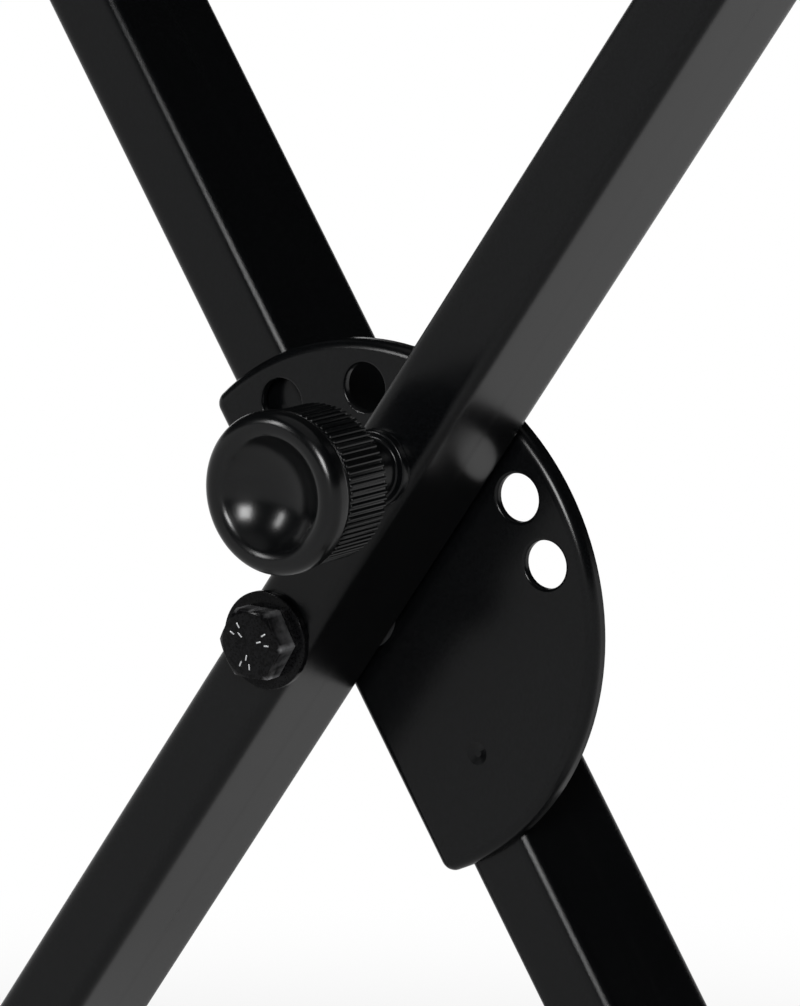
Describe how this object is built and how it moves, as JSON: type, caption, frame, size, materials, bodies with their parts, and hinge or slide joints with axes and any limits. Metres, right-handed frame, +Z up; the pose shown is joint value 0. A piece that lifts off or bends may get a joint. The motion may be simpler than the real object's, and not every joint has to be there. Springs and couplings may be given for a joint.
{
  "type": "folding keyboard stand",
  "caption": "Folding X-shaped keyboard stand: crossing rectangular legs on a pivot bolt, pressed locking plate, pull plunger with ribbed knob, rubber-sleeved arms and foot bars.",
  "frame": {"origin": "on the floor under the middle of the stand", "axes": "+Z up, -Y towards the side with the knob, +X to the right seen from the knob's side, along the spread of the legs"},
  "size_m": [0.5656, 0.45, 0.8168],
  "materials": {
    "black_powder_coat": "semi-gloss fine-textured black powder coat",
    "knob_plastic": "satin moulded black plastic",
    "dark_zinc": "black zinc-plated steel",
    "bright_steel": "bright zinc-plated steel",
    "insert_brass": "turned",
    "slip_plastic": "satin black polyamide",
    "cap_rubber": "matte black rubber",
    "grip_rubber": "matte black foam rubber"
  },
  "bodies": {
    "front_leg": {"front_arm_bar": "black_powder_coat", "front_arm_cap_far": "cap_rubber", "front_arm_cap_near": "cap_rubber", "front_arm_grip_far": "grip_rubber", "front_arm_grip_near": "grip_rubber", "front_arm_saddle": "black_powder_coat", "front_arm_screw_1": "dark_zinc", "front_arm_screw_2": "dark_zinc", "front_foot_bar": "black_powder_coat", "front_foot_cap_far": "cap_rubber", "front_foot_cap_near": "cap_rubber", "front_foot_saddle": "black_powder_coat", "front_foot_screw_1": "dark_zinc", "front_foot_screw_2": "dark_zinc", "front_leg_tube": "black_powder_coat", "front_pivot_bush": "bright_steel", "pivot_bolt": "dark_zinc", "pivot_front_washer": "dark_zinc", "pivot_middle_slip_washer": "slip_plastic", "pivot_nut": "dark_zinc", "pivot_rear_slip_washer": "slip_plastic", "pivot_rear_washer": "dark_zinc", "plunger_sleeve": "black_powder_coat", "plunger_spring": "bright_steel"},
    "rear_leg": {"rear_arm_bar": "black_powder_coat", "rear_arm_cap_far": "cap_rubber", "rear_arm_cap_near": "cap_rubber", "rear_arm_grip_far": "grip_rubber", "rear_arm_grip_near": "grip_rubber", "rear_arm_saddle": "black_powder_coat", "rear_arm_screw_1": "dark_zinc", "rear_arm_screw_2": "dark_zinc", "rear_foot_bar": "black_powder_coat", "rear_foot_cap_far": "cap_rubber", "rear_foot_cap_near": "cap_rubber", "rear_foot_saddle": "black_powder_coat", "rear_foot_screw_1": "dark_zinc", "rear_foot_screw_2": "dark_zinc", "rear_leg_tube": "black_powder_coat", "rear_pivot_bush": "bright_steel", "locking_plate": "black_powder_coat"},
    "plunger": {"plunger_pin": "bright_steel", "plunger_knob": "knob_plastic", "knob_insert": "insert_brass"}
  },
  "joints": [
    {"name": "leg_fold", "type": "hinge", "parent": "front_leg", "child": "rear_leg", "pos_m": [0, 0, 0.40815], "axis": [0, -1, 0], "range_deg": [-63, 36]},
    {"name": "plunger_slide", "type": "slide", "parent": "front_leg", "child": "plunger", "axis": [0, 1, 0], "range_m": [0, 0.0049], "stiffness_N_per_m": 400, "springref_m": 0.02, "deforming": ["plunger_spring"]}
  ]
}
